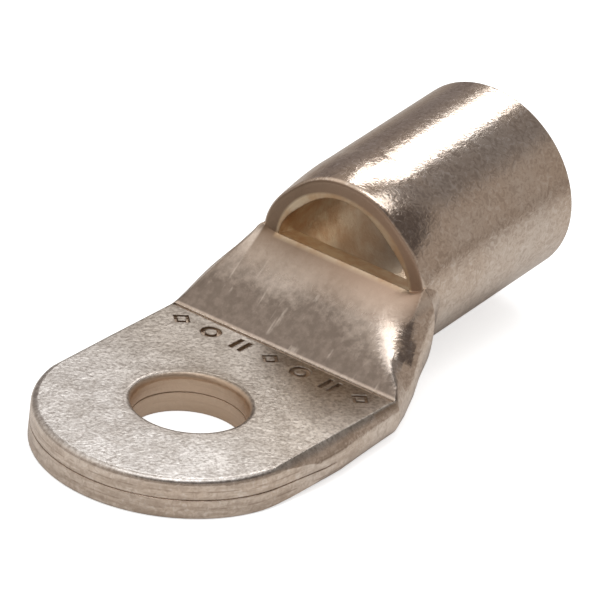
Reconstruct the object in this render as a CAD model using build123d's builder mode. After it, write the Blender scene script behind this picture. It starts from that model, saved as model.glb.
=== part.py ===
from build123d import *
from math import asin, atan2, cos, degrees, radians, sin, tan
import os

os.makedirs("parts", exist_ok=True)

# A tinned copper cable lug pressed from one length of tube, in millimetres.
# The rear stays a round barrel for the conductor, and the front is pressed
# flat into a palm of two touching layers with a stud hole through it.
# The origin is the stud hole's centre on the palm's underside, +X runs
# towards the barrel's mouth and +Z is up.

# Tube
tube_outer_d = 15.0
wall = 1.5
barrel_tilt = 5.16
barrel_length = 18.05
arch_x = 17.41
heel_flat = 0.19
mouth_lip_r = 0.15
arch_lip_r = 0.4
hip_press = 0.42
hip_press_inside = 0.16
crown_press = 0.15
hip_angle = 45.0
rim_taper = 1.5
press_length = 5.0

# Palm, two layers of the wall pressed together
palm_t = 3.1
palm_top_half = 9.95
palm_side_half = 10.95
stud_hole_d = 8.4
tip_r = 10.45
tip_centre_x = -1.5
tip_flare = 7.0
tip_top_r = 0.5
tip_bottom_r = 0.2
hole_lip_r = 0.5
seam_gap = 0.08
seam_depth = 0.15

# Crease, ramp and window. The neck is set by its sections at the knee, just
# past the crease, midway up the ramp and at the throat, just before the
# window. Each has half widths for the flat of the ramp, the rounded corner
# beside it, the side and the base. The corner lies corner_drop below the ramp
# and slopes at corner_angle, with a faint edge of corner_break. The near side,
# towards -Y, has a rounder corner of its own, set by the near_ sizes.
crease_x = 11.06
crease_side_half = 10.55
crease_base_half = 8.4
crease_groove = 0.42
shoulder_x = 4.0
fold_base_half = 9.4
fold_edge = 30.0
knee_length = 1.0
knee_top_half = 7.4
knee_corner_half = 9.6
knee_drop = 0.1
knee_angle = 12.0
knee_side_half = 10.2
knee_side_z = 1.7
knee_base_half = 8.1
mid_top_half = 5.0
mid_corner_half = 9.05
mid_side_half = 10.0
mid_base_half = 6.0
throat_length = 1.8
throat_top_half = 5.2
throat_corner_half = 8.5
throat_side_half = 9.35
throat_side_level = 0.55
throat_base_half = 4.6
corner_drop = 0.33
corner_angle = 27.0
corner_break = 1.0
near_knee_corner_half = 9.35
near_knee_drop = 0.22
near_knee_angle = 28.0
near_mid_corner_half = 8.25
near_mid_side_half = 9.4
near_mid_drop = 1.3
near_throat_top_half = 4.3
near_throat_corner_half = 7.7
near_throat_drop = 0.95
near_throat_side_half = 8.8
near_corner_angle = 43.0
near_side_level = 0.4
foot_h = 0.85
foot_side_half = 8.3
foot_side_h = -2.2
foot_base_half = 2.6
foot_edge = 40.0
round_base_angle = 26.0
heel_blend = 2.0
blend_inset = 0.1
curl_width = 1.9
near_curl_h = 0.75
near_curl_angle = 50.0
far_curl_h = 0.35
far_curl_angle = 35.0
lip_bevel = 11.0
lip_overlap = 0.2

# Row of plain stamped marks beside the crease
mark_count = 7
mark_pitch = 2.7
mark_size = 1.6
mark_stroke = 0.38
mark_depth = 0.22
mark_gap = 0.85

# How far the trim's outline and the flat palm run past the edges they form
overrun = 1.0

tube_r = tube_outer_d / 2
bore_r = tube_r - wall
stud_hole_r = stud_hole_d / 2
tilt = radians(barrel_tilt)

# The barrel's planes stand square to its axis, with local x across the lug
# and local y up, so a height there is measured from the barrel's axis.
arch_plane = Plane(
    origin=(arch_x, 0, tube_r * cos(tilt) - heel_flat),
    x_dir=(0, 1, 0),
    z_dir=(cos(tilt), 0, sin(tilt)),
)
mouth_plane = arch_plane.offset(barrel_length)
blend_plane = arch_plane.offset(heel_blend)
press_plane = arch_plane.offset(press_length)

# The ramp climbs from the crease to the arch's two feet.
foot = arch_plane.from_local_coords(Vector(0, foot_h, 0))
ramp = atan2(foot.Z - palm_t, foot.X - crease_x)
ramp_wall_z = wall / cos(ramp)
knee_x = crease_x + knee_length
mid_x = (crease_x + foot.X) / 2
throat_x = foot.X - throat_length


def cross_plane(x):
    """A plane square to the palm, with local x across the lug and local y up."""
    return Plane(origin=(x, 0, 0), x_dir=(0, 1, 0), z_dir=(1, 0, 0))


def ramp_z(x):
    """Height of the ramp's outer face."""
    return palm_t + (x - crease_x) * tan(ramp)


def heading(angle):
    """Unit direction at an angle above local x, in degrees."""
    return (cos(radians(angle)), sin(radians(angle)))


def mirrored(point):
    """The same point on the near side, where local x is negative."""
    return (-point[0], point[1])


def fold_section(plane, far, near=None):
    """Cross-section of the pressed tube: flat top and base, and two folds.

    A fold leaves the flat top smoothly, reaches its corner at the angle
    arrive, drops from it at leave, passes its side and meets the base at
    base_edge.
    """
    near = near or far
    near_flat, near_corner, near_side, near_base = [
        mirrored(near[name]) for name in ("flat", "corner", "side", "base")
    ]
    with BuildSketch(plane) as section:
        with BuildLine():
            Line(near_flat, far["flat"])
            Spline(far["flat"], far["corner"], tangents=((1, 0), heading(far["arrive"])))
            Spline(
                far["corner"],
                far["side"],
                far["base"],
                tangents=(heading(-far["leave"]), heading(180 + far["base_edge"])),
            )
            Line(far["base"], near_base)
            Spline(
                near_base,
                near_side,
                near_corner,
                tangents=(heading(180 - near["base_edge"]), heading(near["leave"])),
            )
            Spline(near_corner, near_flat, tangents=(heading(-near["arrive"]), (1, 0)))
        make_face()
    return section.sketch


def fold(flat, corner, side, base, arrive=0.0, leave=0.0, base_edge=0.0):
    """The points and angles of one fold, on the far side, for fold_section."""
    return dict(
        flat=flat, corner=corner, side=side, base=base, arrive=arrive, leave=leave, base_edge=base_edge
    )


def on_circle(r, h):
    """The point at height h on a circle of radius r."""
    return (r * cos(asin(h / r)), h)


def round_section(plane, r, top_h):
    """The part of the round tube's section below top_h, in the form of a fold."""
    corner = on_circle(r, top_h)
    base = -r * cos(radians(round_base_angle))
    return fold_section(
        plane,
        fold(
            (corner[0] - curl_width, top_h),
            corner,
            on_circle(r, base / 2),
            on_circle(r, base),
            leave=90 - degrees(asin(top_h / r)),
            base_edge=round_base_angle,
        ),
    )


def barrel_section(plane, r, press, crown=0.0):
    """The barrel's section, its upper hips and crown pressed in towards the axis."""
    hip_x = (r - press) * cos(radians(hip_angle))
    hip_y = (r - press) * sin(radians(hip_angle))
    top = (0, r - crown)
    with BuildSketch(plane) as section:
        with BuildLine():
            CenterArc((0, 0), r, 180, 180)
            if press > 0:
                Spline((r, 0), (hip_x, hip_y), top, tangents=((0, 1), (-1, 0)))
                Spline(top, (-hip_x, hip_y), (-r, 0), tangents=((-1, 0), (0, -1)))
            else:
                CenterArc((0, 0), r, 0, 90)
                CenterArc((0, 0), r, 90, 90)
        make_face()
    return section.sketch


def barrel_sections(r):
    """Sections from the pressed arch to where the barrel is round."""
    return [
        barrel_section(arch_plane, r, hip_press, crown_press),
        barrel_section(arch_plane.offset(rim_taper), r, hip_press_inside),
        barrel_section(press_plane, r, 0),
    ]


def tip_outline(back_x):
    """Plan of the sheared palm: a round tip whose sides flare out to back_x."""
    with BuildSketch() as outline:
        with BuildLine():
            arc = CenterArc((tip_centre_x, 0), tip_r, 90 + tip_flare, 180 - 2 * tip_flare)
            start = arc @ 0
            reach = back_x - start.X
            corner = (back_x, start.Y + reach * tan(radians(tip_flare)))
            Line(start, corner)
            Line(corner, (corner[0], -corner[1]))
            Line((corner[0], -corner[1]), arc @ 1)
        make_face()
    return outline.sketch


# Outer sections of the fold, from the flat palm to the round barrel
palm_section = fold_section(
    cross_plane(shoulder_x),
    fold(
        (palm_top_half - curl_width, palm_t),
        (palm_top_half, palm_t),
        (palm_side_half, palm_t / 2),
        (fold_base_half, 0),
        leave=fold_edge,
    ),
)
crease_section = fold_section(
    cross_plane(crease_x),
    fold(
        (palm_top_half - curl_width, palm_t),
        (palm_top_half, palm_t),
        (crease_side_half, palm_t / 2),
        (crease_base_half, 0),
        leave=fold_edge,
    ),
)
knee_fold = fold(
    (knee_top_half, ramp_z(knee_x)),
    (knee_corner_half, ramp_z(knee_x) - knee_drop),
    (knee_side_half, knee_side_z),
    (knee_base_half, 0),
    arrive=-knee_angle,
    leave=fold_edge,
)
near_knee_fold = dict(
    knee_fold,
    corner=(near_knee_corner_half, ramp_z(knee_x) - near_knee_drop),
    arrive=-near_knee_angle,
    leave=near_corner_angle,
)
knee_section = fold_section(cross_plane(knee_x), knee_fold, near_knee_fold)
mid_fold = fold(
    (mid_top_half, ramp_z(mid_x)),
    (mid_corner_half, ramp_z(mid_x) - corner_drop),
    (mid_side_half, ramp_z(mid_x) / 2),
    (mid_base_half, 0),
    arrive=-corner_angle,
    leave=corner_angle + corner_break,
)
near_mid_fold = dict(
    mid_fold,
    corner=(near_mid_corner_half, ramp_z(mid_x) - near_mid_drop),
    side=(near_mid_side_half, ramp_z(mid_x) * near_side_level),
    arrive=-near_corner_angle,
    leave=near_corner_angle + corner_break,
)
mid_section = fold_section(cross_plane(mid_x), mid_fold, near_mid_fold)
throat_fold = fold(
    (throat_top_half, ramp_z(throat_x)),
    (throat_corner_half, ramp_z(throat_x) - corner_drop),
    (throat_side_half, ramp_z(throat_x) * throat_side_level),
    (throat_base_half, 0),
    arrive=-corner_angle,
    leave=corner_angle + corner_break,
)
near_throat_fold = dict(
    throat_fold,
    flat=(near_throat_top_half, ramp_z(throat_x)),
    corner=(near_throat_corner_half, ramp_z(throat_x) - near_throat_drop),
    side=(near_throat_side_half, ramp_z(throat_x) * throat_side_level),
    arrive=-near_corner_angle,
    leave=near_corner_angle + corner_break,
)
throat_section = fold_section(cross_plane(throat_x), throat_fold, near_throat_fold)
foot_fold = fold(
    (on_circle(tube_r, foot_h)[0] - curl_width, foot_h),
    on_circle(tube_r, foot_h + far_curl_h),
    (foot_side_half, foot_side_h),
    (foot_base_half, -tube_r + heel_flat),
    arrive=far_curl_angle,
    leave=foot_edge,
)
near_foot_fold = dict(
    foot_fold,
    corner=on_circle(tube_r, foot_h + near_curl_h),
    arrive=near_curl_angle,
)
foot_section = fold_section(arch_plane, foot_fold, near_foot_fold)
blend_section = round_section(blend_plane, tube_r - blend_inset, foot_h)

# Inner sections, one wall inside the outer ones, down to where the layers meet
inner_foot_h = foot_h - ramp_wall_z
inner_mid_z = ramp_z(mid_x) - ramp_wall_z
inner_throat_z = ramp_z(throat_x) - ramp_wall_z
pinch_x = crease_x + (wall + ramp_wall_z + seam_gap - palm_t) / tan(ramp)
pinch_section = fold_section(
    cross_plane(pinch_x),
    fold(
        (palm_top_half - wall - curl_width, wall + seam_gap),
        (palm_top_half - wall, wall + seam_gap),
        (palm_top_half - wall / 2, wall + seam_gap / 2),
        (palm_top_half - wall, wall),
    ),
)
inner_mid_section = fold_section(
    cross_plane(mid_x),
    fold(
        (mid_top_half, inner_mid_z),
        (mid_corner_half - wall / 2, inner_mid_z - corner_drop / 2),
        (mid_side_half - wall, (inner_mid_z + wall) / 2),
        (mid_base_half, wall),
        arrive=-corner_angle,
        leave=corner_angle + corner_break,
    ),
)
inner_throat_section = fold_section(
    cross_plane(throat_x),
    fold(
        (throat_top_half, inner_throat_z),
        (throat_corner_half - wall, inner_throat_z - corner_drop),
        (throat_side_half - wall, (inner_throat_z + wall) / 2),
        (throat_base_half, wall),
        arrive=-corner_angle,
        leave=corner_angle + corner_break,
    ),
)
inner_foot_section = fold_section(
    arch_plane,
    fold(
        (on_circle(bore_r, inner_foot_h)[0] - curl_width, inner_foot_h),
        on_circle(bore_r, inner_foot_h),
        (foot_side_half - wall, (inner_foot_h - bore_r) / 2),
        (foot_base_half, -bore_r),
        leave=foot_edge,
    ),
)
inner_blend_section = round_section(blend_plane, bore_r - blend_inset, inner_foot_h)

with BuildPart() as trim:
    # Shape left by the shear: round tip with a rolled top edge
    add(tip_outline(crease_x + overrun))
    extrude(amount=palm_t)
    fillet(trim.faces().sort_by(Axis.Z)[-1].edges(), tip_top_r)
    fillet(trim.faces().sort_by(Axis.Z)[0].edges(), tip_bottom_r)

with BuildPart() as barrel:
    # Round tube with eased edges at the mouth and at the arch
    loft(sections=barrel_sections(tube_r))
    with BuildSketch(press_plane):
        Circle(tube_r)
    extrude(amount=barrel_length - press_length)
    fillet(barrel.edges().group_by(Axis.X)[0], arch_lip_r)
    fillet(barrel.edges().group_by(Axis.X)[-1], mouth_lip_r)

with BuildPart() as lip:
    # The ramp's cut edge, which leans back under the arch
    with BuildSketch(Plane.XZ):
        with BuildLine():
            root_x = foot.X - lip_overlap
            reach = ramp_wall_z / (tan(ramp) + tan(radians(lip_bevel)))
            Polyline(
                (root_x, ramp_z(root_x)),
                (foot.X, foot.Z),
                (foot.X + reach, foot.Z - reach * tan(radians(lip_bevel))),
                (root_x, ramp_z(root_x) - ramp_wall_z),
                close=True,
            )
        make_face()
    extrude(amount=on_circle(bore_r, foot_h)[0] + wall / 2, both=True)

with BuildPart() as lug:
    # Palm, folded flat with round sides, its tip sheared through both layers
    extrude(palm_section, amount=shoulder_x - tip_centre_x + tip_r + overrun, dir=(-1, 0, 0))
    loft(sections=[palm_section, crease_section], ruled=True)
    add(trim.part, mode=Mode.INTERSECT)
    with BuildSketch(Plane.XY.offset((palm_t - seam_gap) / 2)):
        add(tip_outline(crease_x + overrun))
        offset(amount=-seam_depth, mode=Mode.SUBTRACT)
    extrude(amount=seam_gap, mode=Mode.SUBTRACT)
    # Stud hole, its top rim rolled over, with the seam of the two layers
    with BuildSketch():
        Circle(stud_hole_r)
    extrude(amount=palm_t, mode=Mode.SUBTRACT)
    rim = lug.edges(Select.LAST).filter_by(GeomType.CIRCLE)
    fillet(rim.sort_by(Axis.Z)[-1], hole_lip_r)
    with BuildSketch(Plane.XY.offset((palm_t - seam_gap) / 2)):
        Circle(stud_hole_r + seam_depth)
    extrude(amount=seam_gap, mode=Mode.SUBTRACT)
    # Neck and barrel
    loft(sections=[crease_section, knee_section, mid_section, throat_section, foot_section])
    loft(sections=[foot_section, blend_section], ruled=True)
    add(barrel.part)
    # Hollow of the neck and the barrel's bore
    loft(
        sections=[pinch_section, inner_mid_section, inner_throat_section, inner_foot_section],
        mode=Mode.SUBTRACT,
    )
    loft(sections=[inner_foot_section, inner_blend_section], ruled=True, mode=Mode.SUBTRACT)
    loft(sections=barrel_sections(bore_r), mode=Mode.SUBTRACT)
    with BuildSketch(mouth_plane):
        Circle(bore_r)
    extrude(amount=press_length - barrel_length, mode=Mode.SUBTRACT)
    add(lip.part)
    # Flat heel under the neck
    split(bisect_by=Plane.XY, keep=Keep.TOP)
    # Fine groove pressed in along the palm's side of the crease
    with BuildSketch(Plane.XZ.offset(-palm_top_half)):
        with Locations((crease_x - crease_groove / 2, palm_t)):
            RegularPolygon(crease_groove / 2, 4, rotation=45)
    extrude(amount=2 * palm_top_half, mode=Mode.SUBTRACT)
    # Stamped marks: squares, pairs of bars and rings in turn
    with BuildSketch(Plane.XY.offset(palm_t)):
        mark_x = crease_x - mark_gap - mark_size / 2
        for i in range(mark_count):
            with Locations((mark_x, (i - (mark_count - 1) / 2) * mark_pitch)):
                if i % 3 == 0:
                    RegularPolygon(mark_size / 2, 4)
                    RegularPolygon(mark_size / 2 - mark_stroke, 4, mode=Mode.SUBTRACT)
                elif i % 3 == 1:
                    with GridLocations(0, 2 * mark_stroke, 1, 2):
                        Rectangle(mark_size, mark_stroke)
                else:
                    Circle(mark_size / 2)
                    Circle(mark_size / 2 - mark_stroke, mode=Mode.SUBTRACT)
    extrude(amount=-mark_depth, mode=Mode.SUBTRACT)

lug.part.label = "cable_lug"
export_step(lug.part, "parts/cable_lug.step")
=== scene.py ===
import math
from types import SimpleNamespace

import bpy
from mathutils import Matrix, Quaternion, Vector

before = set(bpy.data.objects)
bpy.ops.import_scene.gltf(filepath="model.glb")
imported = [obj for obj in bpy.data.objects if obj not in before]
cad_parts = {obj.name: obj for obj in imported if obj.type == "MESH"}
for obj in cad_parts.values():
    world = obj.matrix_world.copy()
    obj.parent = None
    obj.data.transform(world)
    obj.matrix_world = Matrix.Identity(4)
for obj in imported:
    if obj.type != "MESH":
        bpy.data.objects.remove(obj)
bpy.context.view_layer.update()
scene = bpy.context.scene
scene.view_settings.view_transform = "Standard"

# Camera at the photograph's angle: a long lens from the front left, above
CAMERA_PLACE = (-0.43588, -0.30265, 0.29242)
CAMERA_TURN = (
    (0.599907, 0.320998, -0.732852),
    (-0.793750, 0.353692, -0.494836),
    (0.100362, 0.878557, 0.466975),
)
CAMERA_LENS = 510.0
CAMERA_SENSOR = 36.0
CAMERA_NEAR = 0.01
CAMERA_FAR = 20.0

# Places and sizes of the lug that its material goes by, in metres, as the CAD has them
PALM_TOP = 0.0031
CREASE_X = 0.01106
HOLE_R = 0.0042
BORE_R = 0.0060
TUBE_R = 0.0075
ARCH = Vector((0.01741, 0.0, 0.00728))
RAMP_RISE = 0.80
TILT = math.radians(5.16)
BARREL_AXIS = Vector((math.cos(TILT), 0.0, math.sin(TILT)))

# Zones of the material, in metres. A pair is where a zone starts to show and where it is full.
# The zones' edges fade over a few tenths of a millimetre
TENTH_MM = 0.0001
TIP_WALL_X = (0.0070, 0.0050)
STAMP_X = (0.0082, 0.0085)
# Ranges of painted shade: round the hole, towards the crease and the far side of the palm
HOLE_HALO_R = (0.0058, 0.0043)
PALM_REAR = (-0.006, 0.003)
PALM_REAR_LEAN = 0.4
PALM_FAR_Y = (-0.004, 0.008)
# Where painted shade comes in on the far side of the cut face
CUT_SHADE_Y = (-0.004, 0.004)
# Where painted shade deep in the bore starts and is full
BORE_SHADE_DEPTH = (0.0055, 0.012)
# Painted shade on the ramp, darker low down by the crease and in its middle: its height, lean, sag and
# ragged edges
PAINTED_SHADE_HEIGHT = (0.0122, 0.0085)
PAINTED_SHADE_LEAN = 0.04
PAINTED_SHADE_SAG = 0.17
PAINTED_SHADE_STAIN_RAGS = 0.004
PAINTED_SHADE_PEBBLE_RAGS = 0.0015
WALL_LINES_Z = (0.00085, 0.0022)
WALL_LINE = (0.00008, 0.00003)

# Colours of the metal. A pair holds the two tones that a noise moves between, or the cut face's own tone
# on the near side and a painted shade of it on the far side
TIN = ((0.76, 0.64, 0.54), (0.83, 0.74, 0.66))
TIN_PIT = (0.46, 0.37, 0.31)
TIN_GLINT = (1.0, 0.93, 0.87)
SILVER = ((0.68, 0.66, 0.64), (0.91, 0.90, 0.89))
SILVER_STAIN = (0.46, 0.42, 0.38)
SILVER_PIT = (0.34, 0.30, 0.27)
SILVER_GLINT = (1.0, 0.99, 0.97)
# Painted shade on the palm: towards the crease, on its far side and round the hole
REAR_SHADE = (0.75, 0.71, 0.66)
FAR_SHADE = (0.66, 0.63, 0.60)
HALO_SHADE = (0.62, 0.57, 0.52)
# Painted light that makes the ramp lighter
RAMP_PAINTED_LIGHT = (0.98, 0.90, 0.82)
RAMP_SCRATCH = (0.80, 0.74, 0.68)
# Painted shade on the lower ramp: two tones that a noise moves between
RAMP_PAINTED_SHADE = ((0.155, 0.125, 0.105), (0.23, 0.19, 0.165))
SHEAR_STREAK = (0.46, 0.37, 0.30)
SHEAR_LINE = (0.36, 0.28, 0.22)
HOLE_WALL = (0.74, 0.58, 0.44)
STAMPED = (0.42, 0.30, 0.20)
CUT_FACE_TONE_AND_SHADE = ((0.55, 0.41, 0.32), (0.27, 0.195, 0.14))
GOLDEN = ((0.80, 0.57, 0.35), (1.0, 0.86, 0.64))
# Painted shade deep in the bore
BORE_PAINTED_SHADE = (0.36, 0.28, 0.22)

# Roughness of the tin, and what its grain and each surface add to it
TIN_ROUGH = 0.13
WORM_ROUGH = 0.10
PALM_ROUGH = 0.16
RAMP_ROUGH = 0.06
BARE_ROUGH = 0.16

# Heights of the bump for a noise of 1, and the radius that softens sharp edges, in metres
WORM_BUMP = 0.000016
PEBBLE_BUMP = 0.000008
PALM_PEBBLE_BUMP = 0.000013
STREAK_BUMP = 0.00002
EDGE_RADIUS = 0.00012

# Floor, lamps and room. The metal sees a pool of light on the floor, bright and then dim further
# out, the camera sees white, and the lamps aim at the middle of the lug
WHITE = (1.0, 1.0, 1.0)
FLOOR_HALF = 1.5
FLOOR_Z = -0.00002
FLOOR_TONE = (0.8, 0.8, 0.8)
FLOOR_GLOW = 0.6
POOL_REACH = (0.02, 0.12)
POOL = ((0.64, 0.605, 0.57), (0.30, 0.255, 0.22))
LAMP_AIM = Vector((0.012, 0.0, 0.005))
ROOM = (0.36, 0.31, 0.27)
ROOM_DIFFUSE = (0.75, 0.75, 0.75)
BRIGHT_SIDE = (0.90, 0.82, 0.75)
FAR_DARK_SIDE = (0.21, 0.19, 0.18)
LOW_DARK_SIDE = (0.22, 0.19, 0.18)
NEAR_DARK_SIDE = (0.10, 0.085, 0.08)
NEAR_DARK_AZIMUTHS = (-158.0, -126.0, -94.0, -62.0)

camera_data = bpy.data.cameras.new("camera")
camera_data.lens = CAMERA_LENS
camera_data.sensor_width = CAMERA_SENSOR
camera_data.clip_start = CAMERA_NEAR
camera_data.clip_end = CAMERA_FAR
camera = bpy.data.objects.new("camera", camera_data)
camera.matrix_world = Matrix.Translation(CAMERA_PLACE) @ Matrix(CAMERA_TURN).to_4x4()
scene.collection.objects.link(camera)
scene.camera = camera


class Nodes:
    """Adds shader nodes to one tree and links what they are given."""

    def __init__(self, tree):
        self.tree = tree
        tree.nodes.clear()

    def add(self, kind, inputs=None, **settings):
        node = self.tree.nodes.new(kind)
        for name, value in settings.items():
            setattr(node, name, value)
        for name, value in (inputs or {}).items():
            self.set(node.inputs[name], value)
        return node

    def set(self, socket, value):
        if isinstance(value, bpy.types.NodeSocket):
            self.tree.links.new(value, socket)
        elif isinstance(value, bpy.types.Node):
            self.tree.links.new(value.outputs[0], socket)
        else:
            socket.default_value = value

    def math(self, operation, a, b=0.0):
        return self.add("ShaderNodeMath", {0: a, 1: b}, operation=operation).outputs[0]

    def plus(self, total, *others):
        for other in others:
            total = self.math("ADD", total, other)
        return total

    def times(self, product, *others):
        for other in others:
            product = self.math("MULTIPLY", product, other)
        return product

    def vector(self, operation, a, b=(0.0, 0.0, 0.0)):
        """Result of a vector operation: a number for a length or a dot product, else a vector."""
        node = self.add("ShaderNodeVectorMath", {0: a, 1: b}, operation=operation)
        return node.outputs["Value" if operation in ("LENGTH", "DOT_PRODUCT") else "Vector"]

    def span(self, value, start, end):
        """0 where value is at start, 1 where it is at end, held beyond them."""
        return self.add("ShaderNodeMapRange", {0: value, 1: start, 2: end, 3: 0.0, 4: 1.0}).outputs[0]

    def mix(self, factor, a, b, blend="MIX"):
        """Mixes two colours, each a socket or its red, green and blue."""
        node = self.add("ShaderNodeMix", data_type="RGBA", blend_type=blend)
        for index, value in ((0, factor), (6, a), (7, b)):
            self.set(node.inputs[index], (*value, 1.0) if isinstance(value, tuple) else value)
        return node.outputs[2]

    def tint(self, colour, share, strength, towards, blend="MIX"):
        """Mixes a colour towards another by a share of 0 to 1, scaled by the strength."""
        return self.mix(self.times(share, strength), colour, towards, blend)

    def noise(self, place, scale, detail, roughness, distortion=0.0):
        inputs = {"Vector": place, "Scale": scale, "Detail": detail, "Roughness": roughness}
        return self.add("ShaderNodeTexNoise", {**inputs, "Distortion": distortion}).outputs[0]

    def squeezed(self, place, scale):
        """Coordinates scaled by axis: a noise over them is drawn out along an axis of small scale."""
        return self.add("ShaderNodeMapping", {"Vector": place, "Scale": scale})


def lug_zones(n, place):
    """Shares of 0 to 1 that mark out the lug's surfaces, with the distances that they go by."""
    x, y, z = n.add("ShaderNodeSeparateXYZ", {0: place}).outputs
    before_crease = n.span(x, CREASE_X + TENTH_MM, CREASE_X - 2 * TENTH_MM)
    palm = n.times(before_crease, n.span(z, PALM_TOP - 4.5 * TENTH_MM, PALM_TOP - TENTH_MM))
    under_top = n.span(z, PALM_TOP - 3 * TENTH_MM, PALM_TOP - 6 * TENTH_MM)
    from_hole = n.vector("LENGTH", n.add("ShaderNodeCombineXYZ", {0: x, 1: y}))
    sunk = n.span(z, PALM_TOP - 0.5 * TENTH_MM, PALM_TOP - 1.5 * TENTH_MM)

    # The barrel's surfaces go by the distance along its axis from the arch, and out from that axis
    from_arch = n.vector("SUBTRACT", place, ARCH)
    along = n.vector("DOT_PRODUCT", from_arch, BARREL_AXIS)
    reach = n.vector("LENGTH", from_arch)
    aside = n.math("SQRT", n.math("SUBTRACT", n.times(reach, reach), n.times(along, along)))
    inside = n.span(aside, BORE_R + 3 * TENTH_MM, BORE_R + TENTH_MM)
    cut_front = n.span(along, -30 * TENTH_MM, -TENTH_MM)
    cut_face = n.times(n.span(along, 1.2 * TENTH_MM, 0.6 * TENTH_MM), cut_front)

    ramp_z = n.plus(n.times(x, RAMP_RISE), PALM_TOP - RAMP_RISE * CREASE_X)
    off_ramp = n.math("ABSOLUTE", n.math("SUBTRACT", z, ramp_z))
    after_crease = n.span(x, CREASE_X, CREASE_X + 2 * TENTH_MM)
    before_arch = n.span(x, ARCH.x + 2 * TENTH_MM, ARCH.x - 2 * TENTH_MM)

    return SimpleNamespace(
        x=x,
        y=y,
        z=z,
        from_hole=from_hole,
        along=along,
        palm=palm,
        stamp=n.times(n.span(x, *STAMP_X), palm, sunk),
        tip_wall=n.times(n.span(x, *TIP_WALL_X), under_top),
        hole=n.times(n.span(from_hole, HOLE_R + 3 * TENTH_MM, HOLE_R + TENTH_MM), before_crease),
        inside=n.times(inside, n.span(along, -4 * TENTH_MM, 2 * TENTH_MM)),
        cut=n.times(cut_face, n.span(aside, TUBE_R - TENTH_MM, TUBE_R - 3 * TENTH_MM)),
        ramp=n.times(n.span(off_ramp, 5 * TENTH_MM, TENTH_MM), after_crease, before_arch),
    )


def skin_noises(n, place):
    """Noises of the skin, from wide stains to fine grain, with the shear's streaks and the scratches."""
    cloud = n.noise(place, scale=520.0, detail=3.0, roughness=0.6)
    flat = n.squeezed(place, (0.12, 0.12, 1.0))
    upward = n.squeezed(place, (0.07, 1.0, 0.07))
    scratch = n.noise(upward, scale=1700.0, detail=2.0, roughness=0.6)
    return SimpleNamespace(
        stain=n.noise(place, scale=150.0, detail=4.0, roughness=0.6),
        cloud=cloud,
        pebble=n.noise(place, scale=1500.0, detail=3.0, roughness=0.65),
        worm=n.noise(place, scale=2300.0, detail=2.0, roughness=0.5, distortion=1.2),
        grain=n.noise(place, scale=3600.0, detail=3.0, roughness=0.6),
        streak=n.noise(flat, scale=2600.0, detail=3.0, roughness=0.6),
        scratch=n.times(n.span(scratch, 0.60, 0.68), n.span(cloud, 0.50, 0.60)),
    )


def palm_colour(n, zone, skin):
    """Silvery palm, pebbled and stained, with painted shade that darkens it towards the crease, the far
    side and the hole's rim.
    """
    silver = n.mix(n.span(skin.cloud, 0.38, 0.62), *SILVER)
    silver = n.tint(silver, n.span(skin.stain, 0.52, 0.40), 0.35, SILVER_STAIN)
    silver = n.tint(silver, n.span(skin.grain, 0.55, 0.35), 0.62, SILVER_PIT)
    silver = n.tint(silver, n.span(skin.grain, 0.58, 0.70), 0.6, SILVER_GLINT)
    # Painted shade towards the crease, the far side and round the hole
    rearward = n.math("SUBTRACT", zone.x, n.times(zone.y, PALM_REAR_LEAN))
    silver = n.mix(n.span(rearward, *PALM_REAR), silver, REAR_SHADE, "MULTIPLY")
    silver = n.tint(silver, n.span(zone.y, *PALM_FAR_Y), 0.4, FAR_SHADE, "MULTIPLY")
    return n.tint(silver, n.span(zone.from_hole, *HOLE_HALO_R), 0.6, HALO_SHADE, "MULTIPLY")


def ramp_painted_shade(n, zone, skin):
    """Share of painted shade on the ramp: low down and in its middle, with a ragged edge."""
    height = n.plus(
        n.math("SUBTRACT", zone.z, n.times(zone.y, PAINTED_SHADE_LEAN)),
        n.times(skin.stain, PAINTED_SHADE_STAIN_RAGS),
        n.times(n.math("ABSOLUTE", zone.y), PAINTED_SHADE_SAG),
        n.times(skin.pebble, PAINTED_SHADE_PEBBLE_RAGS),
    )
    return n.times(zone.ramp, n.span(height, *PAINTED_SHADE_HEIGHT))


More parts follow.
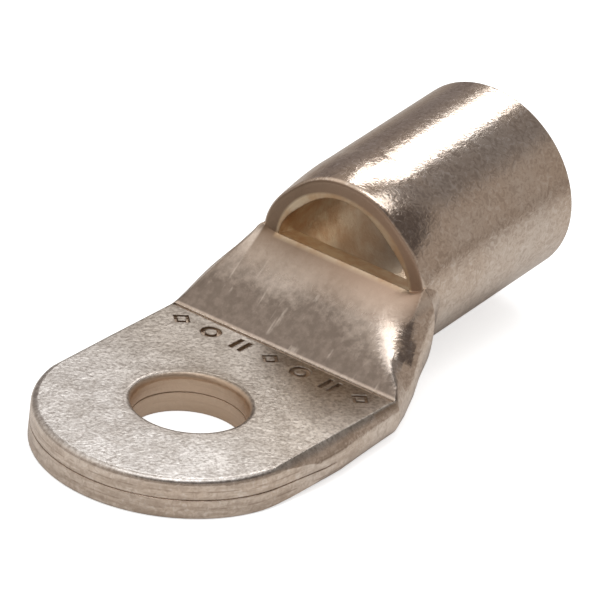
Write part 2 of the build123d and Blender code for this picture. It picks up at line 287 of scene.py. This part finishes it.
def skin_colour(n, zone, skin):
    """Colour of the whole lug: warm tin first, then each surface over it, with painted light on the ramp
    and painted shade on the palm, the lower ramp, the far cut face and deep in the bore.
    """
    colour = n.mix(n.span(skin.stain, 0.38, 0.62), *TIN)
    colour = n.tint(colour, n.span(skin.worm, 0.50, 0.36), 0.42, TIN_PIT)
    colour = n.tint(colour, n.span(skin.worm, 0.56, 0.68), 0.5, TIN_GLINT)
    colour = n.mix(zone.palm, colour, palm_colour(n, zone, skin))

    # Painted light: the whole ramp is made lighter
    colour = n.tint(colour, zone.ramp, 0.6, RAMP_PAINTED_LIGHT)
    # Painted shade darkens the ramp low down and in its middle
    painted_shade_tone = n.mix(n.span(skin.pebble, 0.40, 0.62), *RAMP_PAINTED_SHADE)
    colour = n.tint(colour, ramp_painted_shade(n, zone, skin), 0.9, painted_shade_tone)
    colour = n.tint(colour, n.times(skin.scratch, zone.ramp), 0.35, RAMP_SCRATCH)

    colour = n.tint(colour, n.times(zone.tip_wall, n.span(skin.streak, 0.52, 0.42)), 0.45, SHEAR_STREAK)
    for level in WALL_LINES_Z:
        line = n.span(n.math("ABSOLUTE", n.math("SUBTRACT", zone.z, level)), *WALL_LINE)
        line = n.times(line, zone.tip_wall, n.span(skin.cloud, 0.44, 0.54))
        colour = n.tint(colour, line, 0.6, SHEAR_LINE)
    colour = n.tint(colour, zone.hole, 0.8, HOLE_WALL)
    colour = n.tint(colour, zone.stamp, 0.8, STAMPED)

    # The cut face's own tone on the near side, a painted shade of it on the far side
    colour = n.mix(zone.cut, colour, n.mix(n.span(zone.y, *CUT_SHADE_Y), *CUT_FACE_TONE_AND_SHADE))
    bore_tone_and_shade = n.mix(n.span(skin.cloud, 0.40, 0.60), *GOLDEN)
    # Painted shade darkens the bore deeper inside
    bore_tone_and_shade = n.tint(bore_tone_and_shade, n.span(zone.along, *BORE_SHADE_DEPTH), 0.8, BORE_PAINTED_SHADE)
    return n.tint(colour, zone.inside, 0.9, bore_tone_and_shade)


def skin_roughness(n, zone, skin):
    """Satin tin, rougher on the palm and the ramp, and where bare copper was cut or lies inside."""
    bare = n.math("MAXIMUM", zone.cut, n.math("MAXIMUM", zone.hole, zone.inside))
    return n.plus(
        n.times(skin.worm, WORM_ROUGH),
        TIN_ROUGH,
        n.times(zone.palm, PALM_ROUGH),
        n.times(zone.ramp, RAMP_ROUGH),
        n.times(bare, BARE_ROUGH),
    )


def skin_bump(n, zone, skin):
    """Fine grain all over, coarser pebbles on the palm and streaks on the tip's wall."""
    pebble_height = n.plus(n.times(zone.palm, PALM_PEBBLE_BUMP), PEBBLE_BUMP)
    height = n.plus(
        n.times(skin.worm, WORM_BUMP),
        n.times(skin.pebble, pebble_height),
        n.times(skin.streak, zone.tip_wall, STREAK_BUMP),
    )
    rounded = n.add("ShaderNodeBevel", {"Radius": EDGE_RADIUS}, samples=4)
    inputs = {"Height": height, "Strength": 1.0, "Distance": 1.0, "Normal": rounded}
    return n.add("ShaderNodeBump", inputs)


def tinned_copper():
    """Bright tin over copper: satin metal with a pebbled, faintly stained skin, and painted light and
    shade in its colour.
    """
    material = bpy.data.materials.new("tinned_copper")
    material.use_nodes = True
    n = Nodes(material.node_tree)
    place = n.add("ShaderNodeTexCoord").outputs["Object"]
    zone = lug_zones(n, place)
    skin = skin_noises(n, place)
    inputs = {
        "Base Color": skin_colour(n, zone, skin),
        "Metallic": 1.0,
        "Roughness": skin_roughness(n, zone, skin),
        "Normal": skin_bump(n, zone, skin),
    }
    n.add("ShaderNodeOutputMaterial", {"Surface": n.add("ShaderNodeBsdfPrincipled", inputs)})
    return material


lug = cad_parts["cable_lug"]
lug.data.materials.clear()
lug.data.materials.append(tinned_copper())


def pale_floor():
    """Pale floor, white to the camera but for the lug's shadow, with a pool of light for the metal."""
    material = bpy.data.materials.new("floor")
    material.use_nodes = True
    n = Nodes(material.node_tree)
    path = n.add("ShaderNodeLightPath").outputs
    away = n.vector("LENGTH", n.add("ShaderNodeTexCoord").outputs["Object"])
    tone = n.mix(path["Is Glossy Ray"], FLOOR_TONE, n.mix(n.span(away, *POOL_REACH), *POOL))
    cloth = n.add("ShaderNodeBsdfDiffuse", {"Color": tone})
    strength = n.times(path["Is Camera Ray"], FLOOR_GLOW)
    glow = n.add("ShaderNodeEmission", {"Color": (*WHITE, 1.0), "Strength": strength})
    both = n.add("ShaderNodeAddShader", {0: cloth, 1: glow})
    n.add("ShaderNodeOutputMaterial", {"Surface": both})
    return material


corner_signs = ((-1, -1), (1, -1), (1, 1), (-1, 1))
corners = [(across * FLOOR_HALF, along * FLOOR_HALF, FLOOR_Z) for across, along in corner_signs]
floor_mesh = bpy.data.meshes.new("floor")
floor_mesh.from_pydata(corners, [], [(0, 1, 2, 3)])
floor_mesh.materials.append(pale_floor())
floor = bpy.data.objects.new("floor", floor_mesh)
scene.collection.objects.link(floor)


def direction(azimuth, elevation):
    """Unit vector at an azimuth from +X towards +Y and a height above the floor, in degrees."""
    a = math.radians(azimuth)
    e = math.radians(elevation)
    return Vector((math.cos(e) * math.cos(a), math.cos(e) * math.sin(a), math.sin(e)))


def soft_box(name, azimuth, elevation, distance, size, power, spin=0.0):
    """Rectangular area lamp that faces the lug, spun about its own axis by an angle in degrees."""
    data = bpy.data.lights.new(name, "AREA")
    data.shape = "RECTANGLE"
    data.size, data.size_y = size
    data.energy = power
    lamp = bpy.data.objects.new(name, data)
    towards = direction(azimuth, elevation)
    lamp.location = LAMP_AIM + towards * distance
    turn = towards.to_track_quat("Z", "Y") @ Quaternion((0.0, 0.0, 1.0), math.radians(spin))
    lamp.rotation_euler = turn.to_euler()
    scene.collection.objects.link(lamp)


soft_box("back_light", azimuth=27.0, elevation=43.0, distance=0.6, size=(0.26, 0.17), power=0.44)
soft_box(
    "top_light", azimuth=-117.0, elevation=85.5, distance=0.5, size=(0.24, 0.54), power=0.74, spin=-80.0
)


def studio_world():
    """Room with lighter and darker sides for the metal, white where the camera looks past the floor."""
    world = bpy.data.worlds.new("studio")
    world.use_nodes = True
    n = Nodes(world.node_tree)
    path = n.add("ShaderNodeLightPath").outputs
    look = n.add("ShaderNodeTexCoord").outputs["Generated"]

    def side(room, azimuth, elevation, inner, outer, colour):
        """Mixes a colour into the room round one direction: full within inner degrees, gone at outer."""
        lean = n.vector("DOT_PRODUCT", look, direction(azimuth, elevation))
        share = n.span(lean, math.cos(math.radians(outer)), math.cos(math.radians(inner)))
        return n.mix(share, room, colour)

    room = side(ROOM, azimuth=121.0, elevation=50.0, inner=5.0, outer=45.0, colour=BRIGHT_SIDE)
    room = side(room, azimuth=-18.0, elevation=50.0, inner=10.0, outer=26.0, colour=FAR_DARK_SIDE)
    room = side(room, azimuth=50.0, elevation=12.0, inner=5.0, outer=22.0, colour=LOW_DARK_SIDE)
    for azimuth in NEAR_DARK_AZIMUTHS:
        room = side(room, azimuth, elevation=45.0, inner=11.0, outer=20.0, colour=NEAR_DARK_SIDE)
    room = n.mix(path["Is Diffuse Ray"], room, ROOM_DIFFUSE)
    room = n.mix(path["Is Camera Ray"], room, WHITE)
    background = n.add("ShaderNodeBackground", {"Color": room, "Strength": 1.0})
    n.add("ShaderNodeOutputWorld", {"Surface": background})
    scene.world = world


studio_world()
